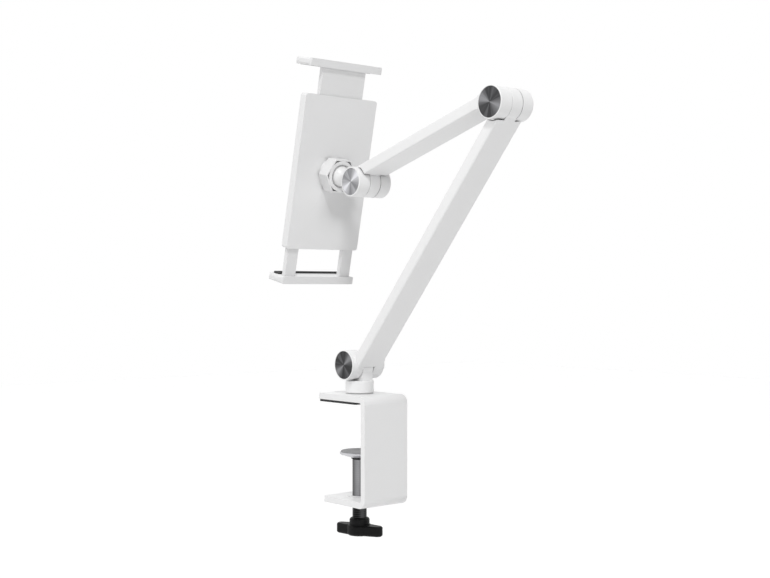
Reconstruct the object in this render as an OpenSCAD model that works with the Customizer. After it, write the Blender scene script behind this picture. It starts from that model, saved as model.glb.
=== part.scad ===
// Desk-clamp tablet holder: a bent plate clamp with a wing-knob screw, a swivel post, two arms on
// three friction hinges, a ball joint with a lock nut, and a slim holder with two sliding jaws.
// X runs along the hinge pins, -Y points toward the user and +Z is up.
// The desk top is the plane Z = 0, and the swivel turns about the line X = 0, Y = 0.

/* [Clamp plate] */
// Width of the bent plate along X
clamp_w = 45.4; // [40:0.2:60]
// Thickness of the plate
clamp_t = 5; // [4:0.1:8]
// Overall height of the bent plate
clamp_h = 90.4; // [84:0.2:110]
// Swivel axis to the outer face of the upright
clamp_back = 34.5; // [31:0.5:50]
// Swivel axis to the tip of the top plate
top_reach = 28.5; // [25:0.1:40]
// Swivel axis to the tip of the bottom plate
bottom_reach = 21.4; // [20:0.2:40]
// Inside radius of the two bends
bend_r = 2; // [0.5:0.1:4]
// Corner radius of the plate's tips
tip_r = 4; // [1:0.5:8]
// Thickness of the rubber desk pad
pad_t = 2; // [1:0.1:4]
// Length of the rubber desk pad, from the tip toward the upright
pad_size = 48.6; // [40:0.2:52]
// Tip of the top plate to the rubber desk pad
pad_margin = 1.1; // [0.5:0.1:4]
// Width of the rubber desk pad along X
pad_w = 43; // [36:0.5:60]

/* [Clamp screw] */
// Diameter of the clamp screw
screw_d = 12; // [8:0.5:13]
// Desk top to the pressure foot's face
foot_drop = 40.6; // [30:0.1:60]
// Diameter of the pressure foot
foot_d = 33; // [26:0.5:40]
// Thickness of the pressure foot's rim
foot_rim = 2.2; // [1.6:0.1:4]
// Height of the cone under the rim
foot_cone = 2.8; // [2:0.1:6]
// Diameter of the foot's neck
neck_d = 14; // [13.5:0.5:18]
// Thickness of the foot's rubber face
facing_t = 0.8; // [0.7:0.1:2]
// Length of the screw from the foot's washer to the knob's collar
screw_len = 49; // [45:0.1:70]
// Diameter of the knob's collar
collar_d = 16.8; // [15:0.1:20]
// Height of the knob's collar
collar_h = 6; // [4:0.1:12]
// Span of the knob over both wings
knob_span = 43.8; // [36:0.2:60]
// Diameter of the knob's hub
knob_hub_d = 21; // [18:0.5:24]
// Height of the knob below its collar
knob_h = 8.5; // [7:0.1:16]
// Turn of the knob's wings away from the Y axis, in degrees
knob_turn = 18; // [0:1:90]

/* [Swivel post] */
// Diameter of the post
post_d = 23.8; // [20:0.1:30]
// Width of the post's tongue, front to back
post_tongue_w = 21.4; // [18:0.1:23]
// Top of the clamp plate to the shoulder axis
shoulder_h = 24.2; // [22:0.1:40]
// Thickness of the swivel washer
swivel_washer_t = 0.6; // [0.4:0.1:1.2]
// Thickness of the plate left between the bolt's head and the post
swivel_seat_t = 2.5; // [1.5:0.1:2.5]
// Diameter of the swivel bolt
swivel_bolt_d = 10; // [8:0.5:12]
// Diameter of the swivel bolt's head
swivel_head_d = 17; // [14:0.5:19]

/* [Hinges] */
// Diameter of the hinge barrels
barrel_d = 24.5; // [24:0.1:30]
// Length of a hinge barrel over its three knuckles
barrel_len = 34; // [33:0.1:42]
// Width of the middle knuckle
lug_w = 10.6; // [8:0.1:12]
// Thickness of the friction washers between the knuckles
washer_t = 0.5; // [0.4:0.1:1]
// Diameter of the hinge bolts
pin_d = 8; // [5:0.5:9]
// Diameter of the hinge bolts' heads
head_d = 13; // [12:0.5:15]
// Height of the hinge bolts' heads
head_h = 4; // [3:0.1:5]
// Thickness of the spring washer under each head
spring_t = 0.8; // [0.5:0.1:1.2]
// Diameter of the shoulder and elbow caps
cap_d = 23; // [20:0.1:23.2]
// Diameter of the wrist cap
wrist_cap_d = 22; // [20:0.1:23.2]
// Thickness of the caps
cap_t = 1.2; // [0.8:0.1:1.5]
// Gap that lets a barrel turn past the other arm's end
sweep_gap = 1.3; // [0.8:0.05:3]

/* [Arms] */
// Lower arm, hinge to hinge
lower_len = 261.3; // [180:0.1:320]
// Upper arm, hinge to hinge
upper_len = 168; // [120:0.1:220]
// Angle of the lower arm above the horizontal, in degrees
lower_angle = 49.36; // [40:0.01:60]
// Angle of the upper arm above the horizontal, in degrees
upper_angle = 16.36; // [10:0.01:20]
// Width of the arms along X
arm_w = 25.2; // [24:0.1:30]
// Thickness of the arms
arm_t = 9.3; // [8:0.1:9.6]
// Distance of the arms' middle plane from their hinge line
arm_offset = 6.6; // [6.4:0.1:7]
// Radius of the arms' long edges
arm_edge = 1.2; // [0.5:0.1:2]
// Length over which a fork's ear runs out into the arm
ear_run = 6.4; // [4:0.1:10]

/* [Ball joint] */
// Lean of the holder back from upright, in degrees
lean = 12.47; // [0:0.01:20]
// Wrist axis to the holder's back face
wrist_reach = 47; // [46:0.1:60]
// Diameter of the ball
ball_d = 18; // [16:0.1:18.4]
// Diameter of the stud's neck
stud_d = 8.6; // [5:0.1:9]
// Wrist axis to the tip of the fork's nose
nose_reach = 24.4; // [20:0.1:25]
// Diameter of the nose's tip
nose_d = 14.4; // [12:0.1:16]
// Ball centre to the holder's back face
ball_rise = 10; // [9.8:0.1:11]
// Thickness of each friction liner
liner_t = 0.4; // [0.3:0.05:0.5]
// Lock nut across its flats
nut_af = 28.2; // [27:0.1:32]
// Height of the lock nut
nut_h = 11; // [10.2:0.1:11.6]
// Height of the lip that closes over the ball
lip_h = 3; // [2.6:0.1:3.2]
// Diameter of the low round foot under the nut
pedestal_d = 27.4; // [26:0.2:30]
// Diameter of the socket's threaded sleeve
sleeve_d = 23.8; // [23.2:0.1:24.4]
// Diameter of the socket's flange
flange_d = 31.8; // [31.4:0.1:32.4]
// Thickness of the socket's flange
flange_t = 1.6; // [1:0.1:2]
// Thickness of the raised seat for the flange, inside the back cover
socket_pad_t = 1.4; // [0.8:0.1:1.6]

/* [Holder] */
// Width of the holder
body_w = 76; // [70:0.5:100]
// Height of the holder
body_h = 131.6; // [124:0.2:180]
// Corner radius of the holder
body_r = 2.5; // [2:0.5:8]
// Thickness of the back cover's wall
back_wall = 1.8; // [1.4:0.1:3]
// Thickness of the side walls
side_wall = 3; // [2:0.1:4]
// Depth of the space that the jaws slide in
slide_depth = 4.8; // [4.4:0.1:8]
// Thickness of the front cover
front_wall = 1.2; // [1:0.1:2]
// Thickness of the ribs that guide the jaws
rib_t = 0.8; // [0.6:0.1:1.2]
// Thickness of the rubber sheet on the front
sheet_t = 0.6; // [0.4:0.1:1.5]
// Margin of the rubber sheet from the holder's edge
sheet_margin = 4; // [2:0.5:10]

/* [Jaws] */
// Width of the upper jaw's tongue
tongue_w = 45.5; // [36:0.5:46]
// Width of each leg of the lower jaw
leg_w = 10.8; // [6:0.1:11]
// Length of the jaws' plates that stays inside the holder
engaged = 29.8; // [24:0.2:40]
// Length of the upper tongue that shows
upper_show = 22.8; // [21:0.1:60]
// Length of the lower legs that shows
lower_show = 24.1; // [21:0.1:60]
// Height of the jaws' bars
bar_h = 6.4; // [6:0.1:9]
// Depth of the jaws' bars, from the holder's back face forward
bar_depth = 20.3; // [18:0.1:30]
// Amount by which the upper bar stands behind the holder's back face
bar_behind = 0.4; // [0:0.1:1]
// Amount by which the jaws' bars stand out past the holder's sides
bar_over = 1.2; // [0:0.1:4]
// Corner radius of the jaws' bars
bar_r = 2.6; // [1:0.1:3]
// Depth of the seats that hold the rubber strips in the bars
grip_t = 1.5; // [1:0.1:2]
// Width of the rubber strips, which run along the front edge and both ends
grip_w = 4.4; // [3:0.1:6]
// Height by which the lower strip stands out to hold the tablet's edge
lower_lip = 1.1; // [0.4:0.1:3]
// Height by which the upper strip stands out
upper_lip = 0.2; // [0:0.1:3]
// Front edge of the bars to the rubber strips
grip_margin = 0.8; // [0.6:0.1:2]
// End of the bars to the rubber strips
grip_end = 3; // [2:0.1:8]

/* [Hidden] */
$fn = 96;
run_gap = 0.05;
slide_gap = 0.2;

white = "#f2f2f2";
black = "#1c1c1e";
steel = "#8c8f93";
spun = "#4a4b4e";

// Clamp heights
plate_top = pad_t + clamp_t;
plate_bottom = plate_top - clamp_h;
shoulder_z = plate_top + shoulder_h;
head_play = 0.4;
swivel_pocket = clamp_t - swivel_seat_t;
swivel_head_h = swivel_pocket - swivel_washer_t - slide_gap;
post_top = shoulder_z - barrel_d / 2 - 1;

// Clamp screw heights, counted down from the foot's face
foot_z = -foot_drop;
foot_body_z = foot_z - facing_t;
foot_h = foot_rim + foot_cone;
foot_washer_t = 0.8;
foot_pocket = 2;
rod_top = foot_body_z - foot_h - foot_washer_t;
collar_z = rod_top - screw_len;
tip_d = screw_d - 2;
bush_flange_d = screw_d + 8;
bush_body_d = screw_d + 5;
bush_flange_t = 0.4;

// Hinge stations along X
barrel_r = barrel_d / 2;
ear_in = lug_w / 2 + washer_t;
ear_out = barrel_len / 2;
sweep_r = barrel_r + sweep_gap;
ear_step = ear_out - arm_w / 2;
ear_fillet = (ear_run * ear_run + ear_step * ear_step) / (2 * ear_step);
seat_x = ear_out - cap_t;
head_x = seat_x - head_h - spring_t - slide_gap;
pin_end = -ear_out + 3;

// Ball joint radii and heights above the holder's back face
ball_r = ball_d / 2;
liner_r = ball_r + run_gap + liner_t;
tilt_r = liner_r + run_gap + liner_t;
cup_r = tilt_r + run_gap;
nut_base = ball_rise + lip_h - nut_h;
nose_root = barrel_r + 1.75;
sleeve_r = sleeve_d / 2;
socket_screw_ring = (sleeve_r + flange_d / 2) / 2;

// Depths in the holder, behind to front, all negative
cavity_back = -back_wall;
cavity_front = cavity_back - slide_depth;
front_face = cavity_front - front_wall;
sheet_face = front_face - sheet_t;
jaw_back = cavity_back - slide_gap;
jaw_front = cavity_front + slide_gap;
leg_in = body_w / 2 - side_wall - slide_gap - leg_w;
tongue_rib_x = tongue_w / 2 + slide_gap;
leg_rib_x = leg_in - slide_gap - rib_t;
upper_bar_z = body_h / 2 + upper_show;
lower_bar_z = -body_h / 2 - lower_show;
groove_depth = 1.3;
groove_w = 5;
brake_len = 6;
brake_z = body_h / 2 - 8;
socket_seat = cavity_back - socket_pad_t;
socket_screw_end = -0.5;
travel_in = 19.5;
travel_out = 15;
boss_d = 6.4;
boss_z = body_h / 2 - 11.8;
upper_boss_x = (tongue_rib_x + rib_t + body_w / 2 - side_wall) / 2;
lower_boss_x = leg_in / 2;
guide_end = body_h / 2 - engaged - travel_in - 1;
bar_w = body_w + 2 * bar_over;
grip_front = grip_margin - bar_depth;
grip_back = sheet_face - 1.5;
grip_r = 4;

function arc(cx, cy, r, a0, a1, steps) =
    [for (i = [0 : steps]) [cx + r * cos(a0 + (a1 - a0) * i / steps), cy + r * sin(a0 + (a1 - a0) * i / steps)]];

// Placement of each assembly
module at_shoulder() translate([0, 0, shoulder_z]) children();
module on_lower_arm() at_shoulder() rotate([lower_angle, 0, 0]) children();
module at_elbow() on_lower_arm() translate([0, lower_len, 0]) children();
module on_upper_arm() at_elbow() rotate([upper_angle - lower_angle, 0, 0]) translate([0, -upper_len, 0]) children();
module on_wrist() on_upper_arm() rotate([-lean - upper_angle, 0, 0]) children();
module on_ball() on_wrist() translate([0, ball_rise - wrist_reach, 0]) children();
module on_holder() on_wrist() translate([0, -wrist_reach, 0]) children();

// Shapes that repeat
module along_x() rotate([0, 90, 0]) children();
module along_y() rotate([-90, 0, 0]) children();

module round_rect(w, h, r) {
    square([w - 2 * r, h], center = true);
    square([w, h - 2 * r], center = true);
    for (x = [-1, 1], y = [-1, 1]) translate([x * (w / 2 - r), y * (h / 2 - r)]) circle(r, $fn = 48);
}

// A plate that stands in X and Z, from depth y0 to depth y1
module panel(w, h, r, y0, y1) {
    translate([0, y1, 0]) rotate([90, 0, 0]) linear_extrude(y1 - y0) round_rect(w, h, r);
}

module ring(r_out, r_in, h) {
    difference() {
        cylinder(r = r_out, h = h);
        translate([0, 0, -1]) cylinder(r = r_in, h = h + 2);
    }
}

module disc_edge(r, h, edge) {
    rotate_extrude() polygon([[0, 0], [r - edge, 0], [r, edge], [r, h - edge], [r - edge, h], [0, h]]);
}

// A hinge barrel from x0 to x1, softly rounded at x0 and lightly chamfered at x1
module barrel(x0, x1, edge) {
    length = x1 - x0;
    translate([x0, 0, 0]) along_x() rotate_extrude() {
        square([barrel_r - edge, length]);
        translate([barrel_r - edge, edge]) circle(edge, $fn = 32);
        translate([0, edge]) polygon([
            [0, 0], [barrel_r, 0], [barrel_r, length - edge - 0.3],
            [barrel_r - 0.3, length - edge], [0, length - edge]
        ]);
    }
}

// Space swept by the middle knuckle, and by each pair of ears
module lug_sweep() translate([-ear_in, 0, 0]) along_x() cylinder(r = sweep_r, h = 2 * ear_in);
module ear_sweep() {
    for (s = [-1, 1]) scale_x(s) translate([lug_w / 2, 0, 0]) along_x() cylinder(r = sweep_r, h = arm_w);
}
module scale_x(s) mirror([s < 0 ? 1 : 0, 0, 0]) children();

// Cap seat, head pocket and bolt hole of a fork
module hinge_bores(cap) {
    translate([seat_x, 0, 0]) along_x() cylinder(d = cap + 2 * run_gap, h = cap_t + 1);
    translate([head_x, 0, 0]) along_x() cylinder(d = head_d + head_play, h = ear_out);
    translate([pin_end, 0, 0]) along_x() cylinder(d = pin_d + 2 * run_gap, h = 2 * ear_out);
}

module pin_bore() {
    translate([-ear_out, 0, 0]) along_x() cylinder(d = pin_d + 2 * run_gap, h = 2 * ear_out);
}

// Hollow curve by which an ear runs out into the arm's side face
module ear_runout(dir, side) {
    intersection() {
        for (s = [-1, 1]) scale_x(s) along_x() rotate_extrude() difference() {
            translate([barrel_r - 2, arm_w / 2 - 1]) square([ear_run + 2, ear_step + 0.7]);
            translate([barrel_r + ear_run, arm_w / 2 + ear_fillet]) circle(ear_fillet);
        }
        translate([-ear_out, dir > 0 ? 0 : -2 * barrel_r, side * arm_offset - arm_t / 2])
            cube([2 * ear_out, 2 * barrel_r, arm_t]);
    }
}

// Arm along +Y, with its fork at y = fork and its middle knuckle at y = lug
module arm(length, fork, lug, side, cap) {
    dir = fork > lug ? -1 : 1;
    difference() {
        union() {
            difference() {
                translate([0, 0, side * arm_offset]) along_y() linear_extrude(length) round_rect(arm_w, arm_t, arm_edge);
                translate([0, lug, 0]) ear_sweep();
            }
            translate([0, fork, 0]) barrel(-ear_out, ear_out, 1.4);
            translate([0, fork, 0]) ear_runout(dir, side);
            translate([0, lug, 0]) barrel(-lug_w / 2, lug_w / 2, 0.3);
        }
        translate([0, fork, 0]) lug_sweep();
        translate([0, fork, 0]) hinge_bores(cap);
        translate([0, lug, 0]) pin_bore();
    }
}

module hinge_bolt() {
    translate([pin_end, 0, 0]) along_x() disc_edge(pin_d / 2, head_x + spring_t - pin_end + 0.5, 0.5);
    translate([head_x + spring_t, 0, 0]) along_x() difference() {
        disc_edge(head_d / 2, head_h, 0.4);
        translate([0, 0, 1.6]) cylinder(r = 3.4, h = head_h, $fn = 6);
    }
}

module hinge_spring() {
    translate([head_x, 0, 0]) along_x() ring(head_d / 2 - 0.2, pin_d / 2 + run_gap, spring_t);
}

module hinge_washers() {
    for (x = [-ear_in, lug_w / 2]) translate([x, 0, 0]) along_x() ring(barrel_r - 0.7, pin_d / 2 + run_gap, washer_t);
}

// Spun cap, its face turned to a very shallow cone
module hinge_cap(cap) {
    translate([seat_x, 0, 0]) along_x() rotate_extrude()
        polygon([[0, 0], [cap / 2, 0], [cap / 2, cap_t - 0.25], [cap / 2 - 0.25, cap_t], [0, cap_t - 0.15]]);
}

// Clamp
module clamp_profile() {
    outer_r = bend_r + clamp_t;
    difference() {
        union() {
            for (z = [plate_top - outer_r, plate_bottom + outer_r]) translate([clamp_back - outer_r, z]) circle(outer_r);
            translate([clamp_back - outer_r, plate_bottom + outer_r]) square([outer_r, clamp_h - 2 * outer_r]);
            translate([-top_reach, pad_t]) square([top_reach + clamp_back - outer_r, clamp_t]);
            translate([-bottom_reach, plate_bottom]) square([bottom_reach + clamp_back - outer_r, clamp_t]);
            translate([clamp_back - outer_r - 1, plate_bottom + 1]) square([1 + bend_r, clamp_h - 2]);
        }
        translate([-top_reach - 1, plate_bottom + outer_r])
            square([top_reach + 1 + clamp_back - clamp_t, clamp_h - 2 * outer_r]);
        translate([-top_reach - 1, plate_bottom + clamp_t])
            square([top_reach + 1 + clamp_back - outer_r, clamp_h - 2 * clamp_t]);
        for (z = [plate_top - outer_r, plate_bottom + outer_r]) translate([clamp_back - outer_r, z]) circle(bend_r);
    }
}

// Outline of one of the plate's arms seen from above, with rounded tips
module tip_outline(reach) {
    length = reach + clamp_back + 1;
    translate([0, clamp_back + 1 - length / 2]) round_rect(clamp_w, length, tip_r);
    translate([-clamp_w / 2, 0]) square([clamp_w, clamp_back + 1]);
}

module clamp_plate() {
    mid_z = (plate_top + plate_bottom) / 2;
    color(white) difference() {
        intersection() {
            translate([-clamp_w / 2, 0, 0]) rotate([90, 0, 90]) linear_extrude(clamp_w) clamp_profile();
            union() {
                translate([0, 0, mid_z - 1]) linear_extrude(clamp_h) tip_outline(top_reach);
                translate([0, 0, mid_z - clamp_h]) linear_extrude(clamp_h) tip_outline(bottom_reach);
            }
        }
        translate([0, 0, plate_bottom - 1]) cylinder(d = bush_body_d + 2 * run_gap, h = clamp_t + 2);
        translate([0, 0, pad_t - 1]) cylinder(d = swivel_bolt_d + 2 * run_gap, h = clamp_t + 2);
        translate([0, 0, pad_t - 1]) cylinder(d = swivel_head_d + 2 * head_play, h = swivel_pocket + 1);
    }
}

module desk_pad() {
    color(black) translate([0, pad_size / 2 + pad_margin - top_reach, 0]) linear_extrude(pad_t) round_rect(pad_w, pad_size, 2);
}

module threaded_bush() {
    color(white) difference() {
        union() {
            translate([0, 0, plate_bottom]) cylinder(d = bush_body_d, h = clamp_t + bush_flange_t / 2);
            translate([0, 0, plate_bottom + clamp_t]) disc_edge(bush_flange_d / 2, bush_flange_t, 0.15);
        }
        translate([0, 0, plate_bottom - 1]) cylinder(d = screw_d + 2 * run_gap, h = clamp_t + bush_flange_t + 2);
    }
}

module swivel_spring() {
    color(steel) translate([0, 0, pad_t + swivel_pocket - swivel_washer_t])
        ring(swivel_head_d / 2, swivel_bolt_d / 2 + run_gap, swivel_washer_t);
}

// Pressure foot and screw
module pressure_foot() {
    foot_r = foot_d / 2;
    color(steel) translate([0, 0, foot_body_z]) rotate_extrude() difference() {
        polygon([
            [0, 0], [foot_r - 0.6, 0], [foot_r, -0.6], [foot_r, 0.5 - foot_rim], [foot_r - 0.5, -foot_rim],
            [neck_d / 2, -foot_h], [0, -foot_h]
        ]);
        translate([-1, -foot_h - 1]) square([tip_d / 2 + run_gap + 1, foot_h + 2]);
        translate([-1, -foot_pocket]) square([tip_d / 2 + 2.2, foot_pocket + 1]);
    }
}

module foot_facing() {
    color(black) translate([0, 0, foot_body_z]) disc_edge(foot_d / 2 - 0.9, facing_t, 0.3);
}

module foot_washer() {
    color(black) translate([0, 0, rod_top]) ring(neck_d / 2, tip_d / 2 + run_gap, foot_washer_t);
}

module clamp_screw() {
    color(steel) {
        translate([0, 0, collar_z - collar_h - knob_h + 3])
            disc_edge(screw_d / 2, rod_top - collar_z + collar_h + knob_h - 3, 0.6);
        translate([0, 0, rod_top - 1]) cylinder(d = tip_d, h = foot_washer_t + foot_h - foot_pocket + 1.5);
        translate([0, 0, foot_body_z - foot_pocket + slide_gap / 2])
            disc_edge(tip_d / 2 + 1, foot_pocket - slide_gap - 0.2, 0.4);
    }
}

// One wing of the knob, a rounded lobe blended into the hub
module knob_wing() {
    lobe_r = 4.6;
    hull() {
        translate([0, knob_span / 2 - lobe_r, 0.1]) lobe(lobe_r, knob_h - 0.2);
        translate([0, 2, 0.1]) lobe(knob_hub_d / 2 - 2.6, knob_h - 0.2);
    }
}

module lobe(r, h) {
    translate([0, 0, 1]) cylinder(r = r, h = h - 2, $fn = 32);
    cylinder(r = r - 1, h = h, $fn = 32);
}

module clamp_knob() {
    knob_z = collar_z - collar_h - knob_h;
    collar_r = collar_d / 2;
    crown = 2.2;
    color(black) difference() {
        union() {
            translate([0, 0, knob_z]) disc_edge(knob_hub_d / 2, knob_h + 0.01, 1.2);
            translate([0, 0, knob_z + knob_h]) rotate_extrude()
                polygon(concat([[0, 0], [collar_r, 0]], arc(collar_r - crown, collar_h - crown, crown, 0, 90, 6), [[0, collar_h]]));
            translate([0, 0, knob_z]) rotate([0, 0, knob_turn]) {
                knob_wing();
                rotate([0, 0, 180]) knob_wing();
            }
        }
        translate([0, 0, knob_z + 3]) cylinder(d = screw_d + 2 * run_gap, h = collar_h + knob_h);
    }
}

// Swivel post
module swivel_post() {
    post_z = plate_top + swivel_washer_t;
    color(white) difference() {
        union() {
            translate([0, 0, post_z]) disc_edge(post_d / 2, post_top - post_z, 0.6);
            intersection() {
                translate([-lug_w / 2, -post_tongue_w / 2, post_top - 1]) cube([lug_w, post_tongue_w, shoulder_z - post_top + 1]);
                cylinder(d = post_d, h = shoulder_z);
            }
            at_shoulder() barrel(-lug_w / 2, lug_w / 2, 0.3);
        }
        at_shoulder() pin_bore();
        translate([0, 0, post_z - 1]) cylinder(d = swivel_bolt_d + 2 * run_gap, h = post_top - post_z - 1);
    }
}

module swivel_bolt() {
    head_z = pad_t + slide_gap;
    color(steel) {
        translate([0, 0, head_z]) disc_edge(swivel_head_d / 2, swivel_head_h, 0.2);
        translate([0, 0, head_z + 1]) disc_edge(swivel_bolt_d / 2, post_top - head_z - 4, 0.6);
    }
}

module swivel_washer() {
    color(black) translate([0, 0, plate_top]) ring(post_d / 2 - 0.9, swivel_bolt_d / 2 + run_gap, swivel_washer_t);
}

// Lower arm and shoulder hinge
module lower_arm() color(white) on_lower_arm() arm(lower_len, 0, lower_len, -1, cap_d);
module shoulder_bolt() color(steel) on_lower_arm() hinge_bolt();
module shoulder_spring() color(steel) on_lower_arm() hinge_spring();
module shoulder_washers() color(black) on_lower_arm() hinge_washers();
module shoulder_cap() color(spun) on_lower_arm() hinge_cap(cap_d);

// Upper arm and elbow hinge
module upper_arm() color(white) on_upper_arm() arm(upper_len, upper_len, 0, 1, cap_d);
module elbow_bolt() color(steel) at_elbow() hinge_bolt();
module elbow_spring() color(steel) at_elbow() hinge_spring();
module elbow_washers() color(black) at_elbow() hinge_washers();
module elbow_cap() color(spun) at_elbow() hinge_cap(cap_d);

// Wrist fork: two ears that run together into a cone around the ball stud
module wrist_fork() {
    color(white) on_wrist() difference() {
        union() {
            barrel(-ear_out, ear_out, 1.4);
            translate([0, -nose_reach, 0]) along_y() rotate_extrude() polygon(concat(
                [[0, 0]],
                arc(nose_d / 2 - 1, 1, 1, -90, -10, 4),
                [[barrel_r - 2.4, nose_reach - nose_root - 4], [barrel_r - 1, nose_reach - nose_root - 1]],
                [[barrel_r - 0.4, nose_reach - nose_root + 2], [barrel_r - 0.4, nose_reach], [0, nose_reach]]
            ));
        }
        lug_sweep();
        hinge_bores(wrist_cap_d);
        translate([0, -nose_reach - 1, 0]) along_y() cylinder(d = stud_d + 2 * run_gap, h = nose_reach);
    }
}

module wrist_bolt() color(steel) on_wrist() hinge_bolt();
module wrist_spring() color(steel) on_wrist() hinge_spring();
module wrist_washers() color(black) on_wrist() hinge_washers();
module wrist_cap() color(spun) on_wrist() hinge_cap(wrist_cap_d);

// Ball joint, all its running faces centred on the ball
module ball_stud() {
    color(white) on_ball() {
        sphere(r = ball_r);
        along_y() cylinder(d = stud_d, h = wrist_reach - ball_rise - sweep_r - 0.5);
    }
}

// A liner between two spheres, from height y0 down to height y1 along the stud axis
module liner(r_in, r_out, y0, y1) {
    color(black) on_ball() along_y() rotate_extrude() intersection() {
        difference() {
            circle(r_out);
            circle(r_in);
        }
        translate([0, y1]) square([r_out + 1, y0 - y1]);
    }
}

module ball_liner() liner(ball_r + run_gap, liner_r, lip_h, -0.8 * ball_r);
module tilt_liner() liner(liner_r + run_gap, tilt_r, -0.5 * ball_r, -0.87 * ball_r);

module ball_socket() {
    color(steel) on_holder() difference() {
        union() {
            translate([0, socket_seat - flange_t, 0]) along_y() disc_edge(flange_d / 2, flange_t, 0.3);
            translate([0, socket_seat - 0.5, 0]) along_y() cylinder(r = sleeve_r, h = ball_rise - socket_seat + 0.5);
        }
        translate([0, ball_rise, 0]) sphere(r = cup_r);
        socket_screw_places() translate([0, socket_seat - flange_t - 1, 0]) along_y() cylinder(r = 1 + run_gap, h = flange_t + 2);
    }
}

module socket_screw_places() {
    for (a = [45 : 90 : 315]) rotate([0, a, 0]) translate([socket_screw_ring, 0, 0]) children();
}

module socket_screws() {
    head_t = 1.2;
    color(steel) on_holder() socket_screw_places() {
        translate([0, socket_seat - flange_t - head_t, 0]) along_y() disc_edge(1.7, head_t, 0.2);
        translate([0, socket_seat - flange_t - 0.5, 0]) along_y()
            cylinder(r = 1, h = flange_t + 0.5 + socket_screw_end - slide_gap - socket_seat);
    }
}

module lock_nut() {
    hex_r = nut_af / sqrt(3);
    corner_r = hex_r - 0.1;
    collar_r = nut_af / 2 - 1.1;
    lip_gap = run_gap + 0.05;
    mouth_t = 1;
    mouth_r = sqrt(pow(liner_r + run_gap, 2) - pow(lip_h - mouth_t, 2));
    color(white) on_holder() translate([0, nut_base, 0]) difference() {
        intersection() {
            along_y() cylinder(r = hex_r, h = nut_h, $fn = 6);
            along_y() disc_edge(corner_r, nut_h, 0.5);
        }
        translate([0, nut_h - 2.2, 0]) along_y() difference() {
            cylinder(r = hex_r - 1.4, h = 3, $fn = 6);
            translate([0, 0, -1]) cylinder(r = collar_r, h = 5);
        }
        translate([0, nut_h - mouth_t, 0]) along_y() cylinder(r1 = mouth_r - 0.05, r2 = mouth_r + mouth_t, h = mouth_t + 0.01);
        translate([0, -1, 0]) along_y() cylinder(r = sleeve_r + run_gap, h = 1 + ball_rise - nut_base + lip_gap);
        translate([0, ball_rise - nut_base, 0]) sphere(r = liner_r + run_gap);
    }
}

// Holder
module back_cover() {
    inner_w = body_w - 2 * side_wall;
    inner_h = body_h - 2 * side_wall;
    inner_r = 2;
    foot_r = pedestal_d / 2;
    flare = nut_base / 2;
    color(white) on_holder() difference() {
        union() {
            difference() {
                panel(body_w, body_h, body_r, cavity_front, 0);
                panel(inner_w, inner_h, inner_r, cavity_front - 1, cavity_back);
            }
            translate([0, -0.5, 0]) along_y() rotate_extrude() polygon(concat(
                [[0, 0], [foot_r + flare, 0]],
                arc(foot_r + flare, flare + 0.5, flare, 270, 180, 5),
                [[foot_r, nut_base + 0.5], [0, nut_base + 0.5]]
            ));
            translate([0, socket_seat, 0]) along_y() cylinder(d = flange_d, h = socket_pad_t + 0.5);
            for (s = [-1, 1]) scale_x(s) {
                translate([tongue_rib_x, cavity_front + slide_gap, guide_end]) cube([rib_t, slide_depth, inner_h / 2 - guide_end + 0.5]);
                translate([leg_rib_x, cavity_front + slide_gap, -inner_h / 2 - 0.5]) cube([rib_t, slide_depth, inner_h / 2 - guide_end + 0.5]);
            }
            boss_places() along_y() translate([0, 0, cavity_front]) cylinder(d = boss_d, h = slide_depth + 0.5);
        }
        translate([-tongue_w / 2 - slide_gap, cavity_front - 1, body_h / 2 - side_wall - 1])
            cube([tongue_w + 2 * slide_gap, slide_depth + 1, side_wall + 2]);
        for (s = [-1, 1]) scale_x(s) translate([leg_in - slide_gap, cavity_front - 1, -body_h / 2 - 1])
            cube([leg_w + 2 * slide_gap, slide_depth + 1, side_wall + inner_r + 2]);
        translate([0, socket_seat - 1, 0]) along_y() cylinder(r = sleeve_r + run_gap, h = nut_base - socket_seat + 2);
        socket_screw_places() translate([0, socket_seat - 1, 0]) along_y() cylinder(r = 1 + run_gap, h = 1 + socket_screw_end - socket_seat);
        boss_places() along_y() translate([0, 0, cavity_front - 1]) cylinder(r = 1 + run_gap, h = slide_depth + 1.4);
    }
}

module boss_places() {
    for (s = [-1, 1]) {
        translate([s * upper_boss_x, 0, boss_z]) children();
        translate([s * lower_boss_x, 0, -boss_z]) children();
    }
}

module front_cover() {
    color(white) on_holder() difference() {
        panel(body_w, body_h, body_r, front_face, cavity_front);
        boss_places() translate([0, front_face, 0]) along_y() {
            translate([0, 0, -1]) cylinder(r = 1 + run_gap, h = front_wall + 2);
            translate([0, 0, -0.01]) cylinder(r1 = 2.2, r2 = 1.2, h = 0.9);
        }
    }
}

module cover_screws() {
    color(steel) on_holder() boss_places() translate([0, front_face, 0]) along_y() rotate_extrude()
        polygon([[0, 0], [2.1, 0], [2.1, 0.05], [1.1, 0.9], [1, 0.9], [1, front_wall + slide_depth], [0, front_wall + slide_depth]]);
}

module front_sheet() {
    color(black) on_holder()
        panel(body_w - 2 * sheet_margin, body_h - 2 * sheet_margin, body_r - 1, sheet_face, front_face);
}

// Brake pads on the front cover, which drag in the jaws' grooves and stop them at both ends
module jaw_brakes() {
    color(black) on_holder() {
        brake(0, brake_z);
        for (s = [-1, 1]) brake(s * (leg_in + leg_w / 2), -brake_z);
    }
}

module brake(x, z) {
    translate([x - groove_w / 2 + slide_gap, cavity_front, z - brake_len / 2])
        cube([groove_w - 2 * slide_gap, groove_depth + slide_gap - run_gap, brake_len]);
}

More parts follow.
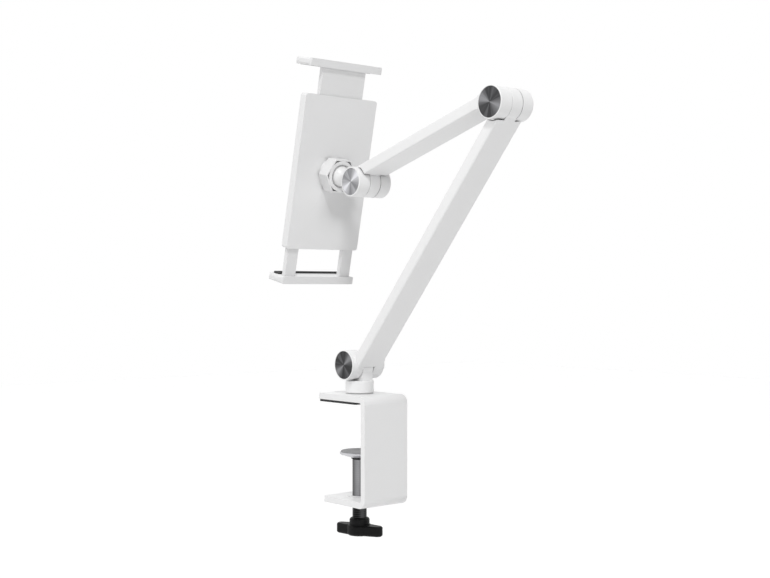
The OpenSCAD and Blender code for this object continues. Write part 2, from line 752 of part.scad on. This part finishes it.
// Groove in a jaw's plate, as long as its brake pad and its travel; dir is the way the jaw opens
module brake_groove(x, z, dir) {
    z0 = z - dir * (brake_len / 2 + travel_out + slide_gap);
    z1 = z + dir * (brake_len / 2 + travel_in + slide_gap);
    translate([x - groove_w / 2, jaw_front - 1, min(z0, z1)]) cube([groove_w, groove_depth + 1, abs(z1 - z0)]);
}

// Bar of a jaw, rounded at its ends seen from above and from behind, with its inner face at z = 0
module jaw_bar(dir) {
    depth = bar_depth + bar_behind;
    intersection() {
        translate([0, bar_behind - depth / 2, dir > 0 ? 0 : -bar_h]) linear_extrude(bar_h) round_rect(bar_w, depth, bar_r);
        translate([0, bar_behind + 1, dir * bar_h / 2]) rotate([90, 0, 0]) linear_extrude(depth + 2) round_rect(bar_w, bar_h, bar_r - 0.1);
    }
}

// Outline of the rubber strip, a U along the bar's front edge and both ends, drawn in by gap
module grip_outline(gap) {
    w = bar_w - 2 * grip_end;
    d = grip_back - grip_front;
    difference() {
        translate([0, (grip_front + grip_back) / 2]) round_rect(w - 2 * gap, d - 2 * gap, grip_r - gap);
        translate([0, grip_front + grip_w + d]) round_rect(w - 2 * grip_w + 2 * gap, 2 * d + 2 * gap, 1);
    }
}

// Recess in a bar's inner face, and the rubber strip that fills it
module grip_seat(dir) {
    translate([0, 0, dir > 0 ? -1 : -grip_t]) linear_extrude(grip_t + 1) grip_outline(0);
}

module grip_pad(dir, lip) {
    translate([0, 0, dir > 0 ? -lip : -grip_t]) linear_extrude(grip_t + lip) grip_outline(slide_gap);
}

module upper_jaw() {
    plate_h = engaged + upper_show + 1;
    color(white) on_holder() difference() {
        union() {
            translate([0, 0, body_h / 2 - engaged + plate_h / 2]) panel(tongue_w, plate_h, 1, jaw_front, jaw_back);
            translate([0, 0, upper_bar_z]) jaw_bar(1);
        }
        brake_groove(0, brake_z, 1);
        translate([0, 0, upper_bar_z]) grip_seat(1);
    }
}

module upper_pad() color(black) on_holder() translate([0, 0, upper_bar_z]) grip_pad(1, upper_lip);

module lower_jaw() {
    plate_h = engaged + lower_show + 1;
    color(white) on_holder() difference() {
        union() {
            for (s = [-1, 1]) translate([s * (leg_in + leg_w / 2), 0, -body_h / 2 + engaged - plate_h / 2])
                panel(leg_w, plate_h, 1, jaw_front, jaw_back);
            translate([0, 0, lower_bar_z]) jaw_bar(-1);
        }
        for (s = [-1, 1]) brake_groove(s * (leg_in + leg_w / 2), -brake_z, -1);
        translate([0, 0, lower_bar_z]) grip_seat(-1);
    }
}

module lower_pad() color(black) on_holder() translate([0, 0, lower_bar_z]) grip_pad(-1, lower_lip);

clamp_plate();
desk_pad();
threaded_bush();
swivel_spring();
pressure_foot();
foot_facing();
foot_washer();
clamp_screw();
clamp_knob();
swivel_post();
swivel_bolt();
swivel_washer();
lower_arm();
shoulder_bolt();
shoulder_spring();
shoulder_washers();
shoulder_cap();
upper_arm();
elbow_bolt();
elbow_spring();
elbow_washers();
elbow_cap();
wrist_fork();
wrist_bolt();
wrist_spring();
wrist_washers();
wrist_cap();
ball_stud();
tilt_liner();
ball_liner();
ball_socket();
socket_screws();
lock_nut();
back_cover();
front_cover();
cover_screws();
front_sheet();
jaw_brakes();
upper_jaw();
upper_pad();
lower_jaw();
lower_pad();
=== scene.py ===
"""Studio look of a white desk-clamp tablet holder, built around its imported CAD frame."""

import math

import bpy
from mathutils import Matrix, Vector


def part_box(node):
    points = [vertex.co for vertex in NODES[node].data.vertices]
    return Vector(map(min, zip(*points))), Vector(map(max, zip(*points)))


bl_info = {
    "name": "Tablet Holder Look",
    "version": (1, 0, 0),
    "blender": (4, 5, 0),
    "location": "3D View > Sidebar > Tablet Holder",
    "description": "Finishes and studio for a desk-clamp tablet holder",
    "category": "Object",
}

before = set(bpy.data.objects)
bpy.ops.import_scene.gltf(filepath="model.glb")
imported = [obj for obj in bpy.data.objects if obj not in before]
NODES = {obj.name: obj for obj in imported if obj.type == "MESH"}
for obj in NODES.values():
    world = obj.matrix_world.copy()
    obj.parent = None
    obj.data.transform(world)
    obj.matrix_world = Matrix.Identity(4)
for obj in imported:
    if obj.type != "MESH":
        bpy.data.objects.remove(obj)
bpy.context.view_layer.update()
MM = 0.001

# Painted shade in crevices: how far it reaches, how fast it deepens, the share of colour left
# inside, and how many rays look for the crevices
PAINTED_SHADE_REACH = 3.0 * MM
PAINTED_SHADE_GAIN = 1.9
PAINTED_SHADE_SHARE = 0.25
PAINTED_SHADE_RAYS = 8

# Detail of the finishes, in metres, and the painted dark reflection's direction round the screw in
# degrees
SPIN_PITCH = 0.32 * MM
THREAD_PITCH = 1.75 * MM
BELOW_PLATE_BLUR = 0.6 * MM
DARK_REFLECTION_TURN = -15.0

# Scales of the noise in the finishes, in waves per metre
PEEL_SCALE = 1100.0
SPARK_SCALE = 2600.0
COAT_CLOUD_SCALE = 22.0
SHELL_CLOUD_SCALE = 16.0
SPIN_SCALE = 9000.0
TURNING_SCALE = 5200.0
SMEAR_SCALE = 90.0
DUST_SCALE = 60.0
PAPER_SCALE = 35.0
RUBBER_GRAIN = 900.0
NYLON_GRAIN = 1500.0

# Broken edges: points closer than this are joined first, edges sharper than this are broken, and
# how wide the break is on each piece
WELD_REACH = 0.001 * MM
SHARP_ANGLE = 40.0
PLATE_EDGE = 0.8 * MM
DESK_PAD_EDGE = 0.3 * MM
NUT_EDGE = 0.25 * MM
COVER_EDGE = 0.5 * MM
JAW_EDGE = 0.4 * MM

# Colours that no setting changes
CLOUD_SHADE = 0.985
FOOT_RUBBER = (0.24, 0.24, 0.245)
PALE_NYLON = (0.45, 0.45, 0.45)
SWIVEL_NYLON = (0.55, 0.55, 0.55)
LINER_NYLON = (0.42, 0.42, 0.42)
# The screw's colours below the clamp plate: dark, and lighter for its thread crests and painted
# highlight streaks
BELOW_PLATE_DARK = (0.004, 0.004, 0.004, 1.0)
BELOW_PLATE_GLINT = (0.06, 0.06, 0.062, 1.0)
PAPER = (0.85, 0.85, 0.85)
NO_LIGHT = (0.0, 0.0, 0.0, 1.0)
FULL_LIGHT = (1.0, 1.0, 1.0, 1.0)

# Each hinge's cap: the way its painted highlight wedges point, in degrees, how narrow they are, and
# how pale painted light makes the cap beside the colour in the settings
HINGES = {
    "shoulder": (37.0, 4.0, 1.0),
    "elbow": (156.0, 3.0, 1.2),
    "wrist": (33.0, 2.0, 3.2),
}

# Shares of the cap colour in the painted bright and dark wedges, the power by which a paler cap
# lifts its dark ones, and how close the painted streaks stand round a cap
PAINTED_HIGHLIGHT_SHARE = 2.1
PAINTED_DARK_WEDGE_SHARE = 0.26
DARK_LIFT = 1.7
STREAK_SCALE = 2.4

# Camera, lamps and floor, in metres and degrees; the sensor is in millimetres
CAMERA_PLACE = (0.6625, 0.8191, 0.0940)
CAMERA_PITCH = 90.0
CAMERA_HEADING = 139.88
SENSOR_WIDTH = 36.0
WINDOW_PLACE = (0.34, 1.45, 0.68)
WINDOW_AIM = (0.0, 0.0, 0.15)
WINDOW_SIZE = 0.36
TOP_PLACE = (0.70, 0.85, 1.25)
TOP_AIM = (0.0, 0.05, 0.2)
TOP_SIZE = 0.22
DARKEST_WALL = 0.05
FLOOR_HALF = 6.0


# Shader helpers


class Sock:
    """A node socket that takes part in Python arithmetic by adding Math nodes."""

    def __init__(self, shader, socket):
        self.shader = shader
        self.socket = socket

    def _math(self, operation, a, b=None):
        inputs = {0: a} if b is None else {0: a, 1: b}
        return self.shader.node("ShaderNodeMath", {"operation": operation}, inputs)

    def __add__(self, other):
        return self._math("ADD", self, other)

    def __radd__(self, other):
        return self._math("ADD", other, self)

    def __sub__(self, other):
        return self._math("SUBTRACT", self, other)

    def __rsub__(self, other):
        return self._math("SUBTRACT", other, self)

    def __mul__(self, other):
        return self._math("MULTIPLY", self, other)

    def __rmul__(self, other):
        return self._math("MULTIPLY", other, self)

    def __pow__(self, other):
        return self._math("POWER", self, other)

    def __rpow__(self, other):
        return self._math("POWER", other, self)

    def sine(self):
        return self._math("SINE", self)

    def at_least(self, other):
        return self._math("MAXIMUM", self, other)

    def clamped(self):
        return self.shader.node("ShaderNodeClamp", inputs={"Value": self})

    def above(self, edge, blur):
        """1 where the value is over the edge and 0 where it is under it."""
        return ((self - edge) * (1.0 / blur) + 0.5).clamped()


class Shader:
    """The nodes of a material or of the world, with one method that adds any node."""

    def __init__(self, owner, output="ShaderNodeOutputMaterial"):
        owner.use_nodes = True
        self.owner = owner
        self.tree = owner.node_tree
        self.tree.nodes.clear()
        self.output = self.tree.nodes.new(output)

    def node(self, kind, settings=None, inputs=None, output=0):
        """Adds a node, sets it up, feeds its sockets and returns one of its outputs."""
        made = self.tree.nodes.new(kind)
        for key, value in (settings or {}).items():
            setattr(made, key, value)
        for key, value in (inputs or {}).items():
            self.feed(made.inputs[key], value)
        return Sock(self, made.outputs[output])

    def feed(self, target, value):
        if isinstance(value, Sock):
            self.tree.links.new(value.socket, target)
        else:
            target.default_value = value

    def place(self):
        """The point on the object, in metres."""
        return self.node("ShaderNodeTexCoord", output="Object")

    def axes(self, vector):
        """The three numbers of a vector."""
        return [
            self.node("ShaderNodeSeparateXYZ", inputs={"Vector": vector}, output=axis)
            for axis in range(3)
        ]

    def turn(self, y, x):
        """The angle of a point round the origin."""
        return self.node("ShaderNodeMath", {"operation": "ARCTAN2"}, {0: y, 1: x})

    def rings(self, radius, scale, detail=2.0):
        """Noise that changes only with the radius, as turning lines do."""
        return self.node(
            "ShaderNodeTexNoise",
            {"noise_dimensions": "1D"},
            {"W": radius * scale, "Scale": 1.0, "Detail": detail},
        )

    def noise(self, vector, scale, detail=2.0, roughness=0.5):
        return self.node(
            "ShaderNodeTexNoise",
            inputs={"Vector": vector, "Scale": scale, "Detail": detail, "Roughness": roughness},
        )

    def mix(self, factor, a, b):
        """Blends two colours; 6 and 7 are the Mix node's colour sockets and 2 its colour output."""
        return self.node("ShaderNodeMix", {"data_type": "RGBA"}, {"Factor": factor, 6: a, 7: b}, 2)

    def painted_crease_shade(self, reach):
        """Mask of painted shade: 1 deep in a gap or a corner and 0 on an open face."""
        open_sky = self.node(
            "ShaderNodeAmbientOcclusion", {"samples": PAINTED_SHADE_RAYS}, {"Distance": reach}, "AO"
        )
        return (1.0 - open_sky * PAINTED_SHADE_GAIN).clamped()

    def wave(self, angle, lobes):
        """0 to 1 and back, so many times round a turn, with 1 where the angle is 0."""
        return (angle * lobes + math.pi / 2.0).sine() * 0.5 + 0.5

    def bump(self, height, strength, distance):
        return self.node(
            "ShaderNodeBump",
            inputs={"Height": height, "Strength": strength, "Distance": distance},
        )

    def seen_or_mirrored(self):
        """1 for what the camera sees, also in gloss and through glass."""
        seen, mirrored, through_glass = [
            self.node("ShaderNodeLightPath", output=ray)
            for ray in ("Is Camera Ray", "Is Glossy Ray", "Is Transmission Ray")
        ]
        return seen.at_least(mirrored).at_least(through_glass)

    def surface(self, **sockets):
        """Ends the nodes in one Principled surface; names use _ for a space."""
        inputs = {key.replace("_", " "): value for key, value in sockets.items()}
        return self.end(self.node("ShaderNodeBsdfPrincipled", inputs=inputs))

    def end(self, last):
        """Joins the last shader to the output, and returns the material or the world."""
        self.feed(self.output.inputs["Surface"], last)
        return self.owner


def rgba(colour):
    return scaled(colour, 1.0)


def scaled(colour, factor):
    """A colour made lighter or darker, with full alpha."""
    return (colour[0] * factor, colour[1] * factor, colour[2] * factor, 1.0)


# Finishes


def satin_coat(name, colour, roughness, grain=1.0):
    """White powder coat: a faint orange peel, small changes in tone and gloss, and painted shade in
    gaps and corners.
    """
    s = Shader(bpy.data.materials.new(name))
    at = s.place()
    peel = s.noise(at, PEEL_SCALE / grain, 3.0, 0.55)
    cloud = s.noise(at, COAT_CLOUD_SCALE, 3.0, 0.6)
    coat = s.mix(cloud, scaled(colour, CLOUD_SHADE), rgba(colour))
    return s.surface(
        # The base colour holds painted shade, darker in gaps and corners
        Base_Color=s.mix(s.painted_crease_shade(PAINTED_SHADE_REACH), coat, scaled(colour, PAINTED_SHADE_SHARE)),
        Roughness=peel * 0.06 + (roughness - 0.03) + cloud * 0.03,
        Normal=s.bump(peel, 0.10, 0.06 * MM),
        IOR=1.5,
    )


def moulded_white(name, colour, roughness, index=1.47):
    """White moulded plastic: very fine spark texture with a soft sheen, and painted shade in gaps
    and corners.
    """
    s = Shader(bpy.data.materials.new(name))
    at = s.place()
    spark = s.noise(at, SPARK_SCALE, 2.0, 0.6)
    cloud = s.noise(at, SHELL_CLOUD_SCALE, 2.0, 0.5)
    shell = s.mix(cloud, scaled(colour, CLOUD_SHADE), rgba(colour))
    return s.surface(
        # The base colour holds painted shade, darker in gaps and corners
        Base_Color=s.mix(s.painted_crease_shade(PAINTED_SHADE_REACH), shell, scaled(colour, PAINTED_SHADE_SHARE)),
        Roughness=spark * 0.05 + (roughness - 0.02),
        Normal=s.bump(spark, 0.08, 0.04 * MM),
        IOR=index,
    )


def spun_metal(name, centre, dark, light, highlight_turn, spread):
    """Anodised disc, spun to fine rings, with painted highlight wedges and painted dark wedges in
    its colour.
    """
    s = Shader(bpy.data.materials.new(name))
    out = s.node("ShaderNodeVectorMath", {"operation": "SUBTRACT"}, {0: s.place(), 1: centre})
    along, up = s.axes(out)[1:]
    radius = (along * along + up * up) ** 0.5
    direction = s.node("ShaderNodeVectorMath", {"operation": "NORMALIZE"}, {0: out})
    fine = s.rings(radius, SPIN_SCALE)
    lines = (radius * (2.0 * math.pi / SPIN_PITCH)).sine()
    painted_highlight_streak = s.noise(direction, STREAK_SCALE, 3.0, 0.6)
    # Painted highlight: two bright wedges, a weaker cross of four, and streaks round the cap
    from_highlight = s.turn(up, along) - highlight_turn
    highlight_wedge = s.wave(from_highlight, 2.0) ** spread
    cross = s.wave(from_highlight, 4.0) ** 4.0
    glow = (highlight_wedge * 0.75 + cross * 0.25 + painted_highlight_streak * 0.9 - 0.45).clamped()
    # Colour: painted highlight between the dark and the light colours, with darker turning rings
    painted_reflection_tone = s.mix(fine * 0.3, s.mix(glow, dark, light), scaled(dark, 1.6))
    return s.surface(
        Base_Color=painted_reflection_tone,
        Metallic=0.85,
        Roughness=fine * 0.12 + 0.28,
        Normal=s.bump(lines * 0.5 + fine, 0.25, 0.03 * MM),
    )


def turned_steel(name, colour, roughness):
    """Zinc-plated steel with fine turning lines around Z."""
    s = Shader(bpy.data.materials.new(name))
    at = s.place()
    lines = s.rings(s.axes(at)[2], TURNING_SCALE, 3.0)
    smear = s.noise(at, SMEAR_SCALE, 3.0, 0.6)
    tone = s.mix(smear, scaled(colour, 0.72), scaled(colour, 1.15))
    return s.surface(
        Base_Color=tone,
        Metallic=0.9,
        Roughness=lines * 0.16 + smear * 0.08 + roughness,
        Normal=s.bump(lines, 0.2, 0.04 * MM),
    )


def threaded_steel(name, colour, black_below):
    """Plated screw with a rolled thread around Z, a painted dark reflection on two sides, and
    darker below the clamp plate, where its thread crests are lighter and painted highlight streaks
    run."""
    s = Shader(bpy.data.materials.new(name))
    at = s.place()
    across, along, up = s.axes(at)
    turn = s.turn(along, across)
    thread = (up * (2.0 * math.pi / THREAD_PITCH) - turn).sine() * 0.5 + 0.5
    smear = s.noise(at, SMEAR_SCALE, 3.0, 0.6)
    plated = s.mix(smear, scaled(colour, 0.75), scaled(colour, 1.15))
    ridged = s.mix(thread * 0.35, plated, scaled(colour, 0.8))
    # Painted dark reflection: two dark streaks along the screw
    painted_dark_reflection = s.wave(turn - math.radians(DARK_REFLECTION_TURN), 2.0)
    painted_reflection_tone = s.mix(painted_dark_reflection ** 4.0, ridged, scaled(colour, 0.3))
    # Lighter thread crests, and painted highlight streaks between the dark reflections
    worn_crests_and_painted_glint = (thread ** 3.0) * 0.5 + (1.0 - painted_dark_reflection) ** 8.0
    below_plate_tone = s.mix(worn_crests_and_painted_glint, BELOW_PLATE_DARK, BELOW_PLATE_GLINT)
    # Darker below the clamp plate
    below_plate_mask = 1.0 - up.above(black_below, BELOW_PLATE_BLUR)
    return s.surface(
        Base_Color=s.mix(below_plate_mask, painted_reflection_tone, below_plate_tone),
        Metallic=0.9,
        Roughness=smear * 0.1 + 0.27,
        Normal=s.bump(thread, 0.2, 0.2 * MM),
    )


def grained_polymer(name, colour, roughness, grain, shine=0.5):
    """Rubber, nylon or plain plastic with a fine matte grain."""
    s = Shader(bpy.data.materials.new(name))
    at = s.place()
    grainy = s.noise(at, grain, 4.0, 0.65)
    dust = s.noise(at, DUST_SCALE, 3.0, 0.6)
    tone = s.mix(dust * 0.6, rgba(colour), scaled(colour, 1.7))
    return s.surface(
        Base_Color=tone,
        Roughness=grainy * 0.14 + roughness,
        Normal=s.bump(grainy, 0.22, 0.08 * MM),
        Specular_IOR_Level=shine,
        IOR=1.5,
    )


def pale_floor(name, colour, lift):
    """Pale studio paper that shows white to the camera and in reflections, and keeps its shadow."""
    s = Shader(bpy.data.materials.new(name))
    fibre = s.noise(s.place(), PAPER_SCALE, 3.0, 0.6)
    tone = s.mix(fibre, scaled(colour, 0.99), rgba(colour))
    glow = s.mix(s.seen_or_mirrored(), NO_LIGHT, FULL_LIGHT)
    return s.surface(
        Base_Color=tone,
        Roughness=fibre * 0.05 + 0.85,
        Specular_IOR_Level=0.0,
        Normal=s.bump(fibre, 0.02, 0.2 * MM),
        Emission_Color=glow,
        Emission_Strength=lift,
    )


# Modelling helpers


def dress(names, material):
    """Gives CAD nodes a finish."""
    for name in names:
        for slot in NODES[name].material_slots:
            slot.link = "OBJECT"
            slot.material = material


def soften(names, width):
    """Breaks the sharp edges of CAD nodes with a small bevel."""
    for name in names:
        node = NODES[name]
        weld = node.modifiers.new("Joined edges", "WELD")
        weld.merge_threshold = WELD_REACH
        bevel = node.modifiers.new("Broken edges", "BEVEL")
        bevel.width = width
        bevel.segments = 2
        bevel.limit_method = "ANGLE"
        bevel.angle_limit = math.radians(SHARP_ANGLE)
        bevel.harden_normals = True


# Sizes and colours that a user may change


class FinishSettings(bpy.types.PropertyGroup):
    """Colours and gloss of the holder."""

    white: bpy.props.FloatVectorProperty(
        name="White coat",
        description="Colour of the coated metal and the plastic",
        subtype="COLOR",
        default=(0.80, 0.80, 0.802),
        min=0.0,
        max=1.0,
    )
    black: bpy.props.FloatVectorProperty(
        name="Black rubber",
        description="Colour of the rubber and the black plastic",
        subtype="COLOR",
        default=(0.01, 0.01, 0.0105),
        min=0.0,
        max=1.0,
    )
    steel: bpy.props.FloatVectorProperty(
        name="Steel",
        description="Colour of the plated steel",
        subtype="COLOR",
        default=(0.30, 0.30, 0.31),
        min=0.0,
        max=1.0,
    )
    cap: bpy.props.FloatVectorProperty(
        name="Hinge cap",
        description="Colour of the spun caps",
        subtype="COLOR",
        default=(0.13, 0.13, 0.135),
        min=0.0,
        max=1.0,
    )
    coat_roughness: bpy.props.FloatProperty(
        name="Coat roughness",
        description="Roughness of the white coat, from glossy to matte",
        subtype="FACTOR",
        default=0.42,
        min=0.1,
        max=0.9,
    )


class StudioSettings(bpy.types.PropertyGroup):
    """Floor, lamps and camera."""

    floor_height: bpy.props.FloatProperty(
        name="Floor height",
        description="Height of the floor, from the desk top",
        unit="LENGTH",
        default=-0.45,
    )
    room: bpy.props.FloatProperty(
        name="Room light",
        description="Strength of the light from all round",
        default=0.56,
        min=0.0,
        max=3.0,
    )
    lean: bpy.props.FloatVectorProperty(
        name="Room light's lean",
        description="How much brighter the room is toward +X, +Y and +Z",
        subtype="XYZ",
        default=(0.24, -0.58, 0.40),
        min=-2.0,
        max=2.0,
    )
    key: bpy.props.FloatProperty(
        name="Window light",
        description="Power of the soft lamp behind the camera, in watts",
        unit="POWER",
        default=4.0,
        min=0.0,
    )
    top: bpy.props.FloatProperty(
        name="Overhead light",
        description="Power of the soft lamp above the holder, in watts",
        unit="POWER",
        default=9.0,
        min=0.0,
    )
    lift: bpy.props.FloatProperty(
        name="Floor lift",
        description="Glow that brings the floor up to white for the camera",
        subtype="FACTOR",
        default=0.3,
        min=0.0,
        max=1.0,
    )
    lens: bpy.props.FloatProperty(
        name="Lens",
        description="Focal length in millimetres on a 36 mm sensor",
        unit="CAMERA",
        default=59.01,
        min=20.0,
        max=200.0,
    )


# Operators, one for each group of pieces


class HOLDER_OT_clamp(bpy.types.Operator):
    """Finish the clamp plate, its pad, its bush and the spring washer in it"""

    bl_idname = "holder.clamp"
    bl_label = "Clamp"

    def execute(self, context):
        look = context.scene.holder_finish
        coat = satin_coat("Clamp coat", look.white, look.coat_roughness)
        rubber = grained_polymer(
            "Desk pad rubber", look.black, roughness=0.62, grain=RUBBER_GRAIN
        )
        steel = turned_steel("Spring washer steel", look.steel, roughness=0.3)
        dress(["clamp_plate", "threaded_bush"], coat)
        dress(["desk_pad"], rubber)
        dress(["swivel_spring"], steel)
        soften(["clamp_plate"], PLATE_EDGE)
        soften(["desk_pad"], DESK_PAD_EDGE)
        return {"FINISHED"}


class HOLDER_OT_screw(bpy.types.Operator):
    """Finish the clamp screw, its knob and its pressure foot"""

    bl_idname = "holder.screw"
    bl_label = "Clamp screw"

    def execute(self, context):
        look = context.scene.holder_finish
        under_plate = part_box("clamp_plate")[0][2]
        screw = threaded_steel("Threaded screw steel", look.steel, black_below=under_plate)
        knob = grained_polymer(
            "Knob plastic", scaled(look.black, 0.4), roughness=0.36, grain=NYLON_GRAIN, shine=0.12
        )
        foot = turned_steel("Plated foot steel", scaled(look.steel, 2.1), roughness=0.28)
        rubber = grained_polymer("Foot rubber", FOOT_RUBBER, roughness=0.6, grain=RUBBER_GRAIN)
        dress(["clamp_screw"], screw)
        dress(["clamp_knob", "foot_washer"], knob)
        dress(["pressure_foot"], foot)
        dress(["foot_facing"], rubber)
        return {"FINISHED"}


class HOLDER_OT_swivel(bpy.types.Operator):
    """Finish the swivel post, its bolt and its washer"""

    bl_idname = "holder.swivel"
    bl_label = "Swivel"

    def execute(self, context):
        look = context.scene.holder_finish
        # Painted light: the post's coat is a paler copy of the white coat
        coat = satin_coat("Post coat", scaled(look.white, 1.08), look.coat_roughness - 0.1)
        steel = turned_steel("Swivel bolt steel", look.steel, roughness=0.3)
        nylon = grained_polymer("Washer nylon", SWIVEL_NYLON, roughness=0.45, grain=NYLON_GRAIN)
        dress(["swivel_post"], coat)
        dress(["swivel_bolt"], steel)
        dress(["swivel_washer"], nylon)
        return {"FINISHED"}


class HOLDER_OT_arms(bpy.types.Operator):
    """Finish both arms"""

    bl_idname = "holder.arms"
    bl_label = "Arms"

    def execute(self, context):
        look = context.scene.holder_finish
        coat = satin_coat("Arm coat", look.white, look.coat_roughness)
        dress(["lower_arm", "upper_arm"], coat)
        return {"FINISHED"}


class HOLDER_OT_hinges(bpy.types.Operator):
    """Finish the hinges: spun caps, bolts and washers"""

    bl_idname = "holder.hinges"
    bl_label = "Hinges"

    def execute(self, context):
        look = context.scene.holder_finish
        steel = turned_steel("Hinge bolt steel", look.steel, roughness=0.3)
        nylon = grained_polymer(
            "Friction washer nylon", PALE_NYLON, roughness=0.5, grain=NYLON_GRAIN
        )
        for hinge, (highlight_turn, spread, lift) in HINGES.items():
            low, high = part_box(hinge + "_cap")
            # Painted highlight wedges; lift is painted light that makes one cap paler than the
            # others
            metal = spun_metal(
                hinge.title() + " cap metal",
                tuple((Vector(low) + Vector(high)) / 2.0),
                scaled(look.cap, PAINTED_DARK_WEDGE_SHARE * lift ** DARK_LIFT),
                scaled(look.cap, PAINTED_HIGHLIGHT_SHARE * lift),
                math.radians(highlight_turn),
                spread,
            )
            dress([hinge + "_cap"], metal)
            dress([hinge + "_bolt", hinge + "_spring"], steel)
            dress([hinge + "_washers"], nylon)
        return {"FINISHED"}


class HOLDER_OT_ball_joint(bpy.types.Operator):
    """Finish the wrist fork, the ball and the lock nut"""

    bl_idname = "holder.ball_joint"
    bl_label = "Ball joint"

    def execute(self, context):
        look = context.scene.holder_finish
        fork = satin_coat("Fork coat", look.white, look.coat_roughness)
        ball = satin_coat("Ball coat", look.white, roughness=0.3, grain=0.6)
        nut = moulded_white("Nut plastic", look.white, roughness=0.36)
        nylon = grained_polymer("Liner nylon", LINER_NYLON, roughness=0.45, grain=NYLON_GRAIN)
        steel = turned_steel("Socket steel", look.steel, roughness=0.3)
        dress(["wrist_fork"], fork)
        dress(["ball_stud"], ball)
        dress(["lock_nut"], nut)
        dress(["ball_liner", "tilt_liner"], nylon)
        dress(["ball_socket", "socket_screws"], steel)
        soften(["lock_nut"], NUT_EDGE)
        return {"FINISHED"}


class HOLDER_OT_cradle(bpy.types.Operator):
    """Finish the cradle: covers, jaws and rubber"""

    bl_idname = "holder.cradle"
    bl_label = "Cradle"

    def execute(self, context):
        look = context.scene.holder_finish
        # Darker copies of the white: partly a greyer plastic, partly painted shade
        shell = moulded_white("Cover plastic", scaled(look.white, 0.96), roughness=0.3, index=1.6)
        jaw = moulded_white("Jaw plastic", scaled(look.white, 0.94), roughness=0.4)
        rubber = grained_polymer("Grip rubber", look.black, roughness=0.6, grain=RUBBER_GRAIN)
        steel = turned_steel("Cover screw steel", look.steel, roughness=0.3)
        dress(["back_cover", "front_cover"], shell)
        dress(["upper_jaw", "lower_jaw"], jaw)
        dress(["front_sheet", "upper_pad", "lower_pad", "jaw_brakes"], rubber)
        dress(["cover_screws"], steel)
        soften(["back_cover", "front_cover"], COVER_EDGE)
        soften(["upper_jaw", "lower_jaw"], JAW_EDGE)
        return {"FINISHED"}


class HOLDER_OT_stage(bpy.types.Operator):
    """Lay the floor, hang the lamps and set the camera"""

    bl_idname = "holder.stage"
    bl_label = "Studio"

    def execute(self, context):
        studio = context.scene.holder_studio
        self.floor(studio.floor_height, studio.lift)
        self.world(studio.room, studio.lean)
        self.lamp("Window softbox", WINDOW_PLACE, WINDOW_AIM, WINDOW_SIZE, studio.key)
        self.lamp("Overhead softbox", TOP_PLACE, TOP_AIM, TOP_SIZE, studio.top)
        self.camera(studio.lens)
        context.scene.view_settings.view_transform = "Standard"
        return {"FINISHED"}

    def floor(self, height, lift):
        """A wide square of pale paper under the desk clamp."""
        half = FLOOR_HALF
        mesh = bpy.data.meshes.new("floor")
        corners = [
            (-half, -half, height),
            (half, -half, height),
            (half, half, height),
            (-half, half, height),
        ]
        mesh.from_pydata(corners, [], [(0, 1, 2, 3)])
        floor = bpy.data.objects.new("floor", mesh)
        bpy.context.scene.collection.objects.link(floor)
        mesh.materials.append(pale_floor("Floor paper", PAPER, lift))

    def world(self, strength, lean):
        """A room whose walls differ in brightness, seen as plain white by the camera."""
        s = Shader(bpy.data.worlds.new("Studio room"), "ShaderNodeOutputWorld")
        slope = s.node(
            "ShaderNodeVectorMath",
            {"operation": "DOT_PRODUCT"},
            {0: s.node("ShaderNodeTexCoord", output="Generated"), 1: lean},
            "Value",
        )
        walls = (slope + strength).at_least(DARKEST_WALL)
        room = s.node("ShaderNodeBackground", inputs={"Color": FULL_LIGHT, "Strength": walls})
        white = s.node("ShaderNodeBackground", inputs={"Color": FULL_LIGHT})
        blend = s.node("ShaderNodeMixShader", inputs={0: s.seen_or_mirrored(), 1: room, 2: white})
        bpy.context.scene.world = s.end(blend)

    def lamp(self, name, place, aim, size, power):
        """A square softbox that faces its aim."""
        data = bpy.data.lights.new(name, "AREA")
        data.energy = power
        data.size = size
        lamp = bpy.data.objects.new(name, data)
        lamp.location = place
        beam = Vector(aim) - Vector(place)
        lamp.rotation_euler = beam.to_track_quat("-Z", "Y").to_euler()
        bpy.context.scene.collection.objects.link(lamp)

    def camera(self, lens):
        """The photograph's view: level, from behind the holder and from its +X side."""
        data = bpy.data.cameras.new("Camera")
        data.sensor_width = SENSOR_WIDTH
        data.lens = lens
        camera = bpy.data.objects.new("Camera", data)
        camera.location = CAMERA_PLACE
        camera.rotation_euler = (math.radians(CAMERA_PITCH), 0.0, math.radians(CAMERA_HEADING))
        bpy.context.scene.collection.objects.link(camera)
        bpy.context.scene.camera = camera


class HOLDER_PT_panel(bpy.types.Panel):
    """Sidebar panel with the holder's settings and steps"""

    bl_idname = "HOLDER_PT_panel"
    bl_label = "Tablet Holder"
    bl_space_type = "VIEW_3D"
    bl_region_type = "UI"
    bl_category = "Tablet Holder"

    def draw(self, context):
        for settings in (context.scene.holder_finish, context.scene.holder_studio):
            for name in settings.bl_rna.properties.keys():
                if name not in ("rna_type", "name"):
                    self.layout.prop(settings, name)
        for step in STEPS:
            self.layout.operator(step.bl_idname)


STEPS = (
    HOLDER_OT_clamp,
    HOLDER_OT_screw,
    HOLDER_OT_swivel,
    HOLDER_OT_arms,
    HOLDER_OT_hinges,
    HOLDER_OT_ball_joint,
    HOLDER_OT_cradle,
    HOLDER_OT_stage,
)
CLASSES = (FinishSettings, StudioSettings) + STEPS + (HOLDER_PT_panel,)


def register():
    for item in CLASSES:
        bpy.utils.register_class(item)
    bpy.types.Scene.holder_finish = bpy.props.PointerProperty(type=FinishSettings)
    bpy.types.Scene.holder_studio = bpy.props.PointerProperty(type=StudioSettings)


def unregister():
    del bpy.types.Scene.holder_studio
    del bpy.types.Scene.holder_finish
    for item in reversed(CLASSES):
        bpy.utils.unregister_class(item)


def main():
    """Runs every step in order."""
    register()
    for step in STEPS:
        area, name = step.bl_idname.split(".")
        getattr(getattr(bpy.ops, area), name)()


if __name__ == "__main__":
    main()
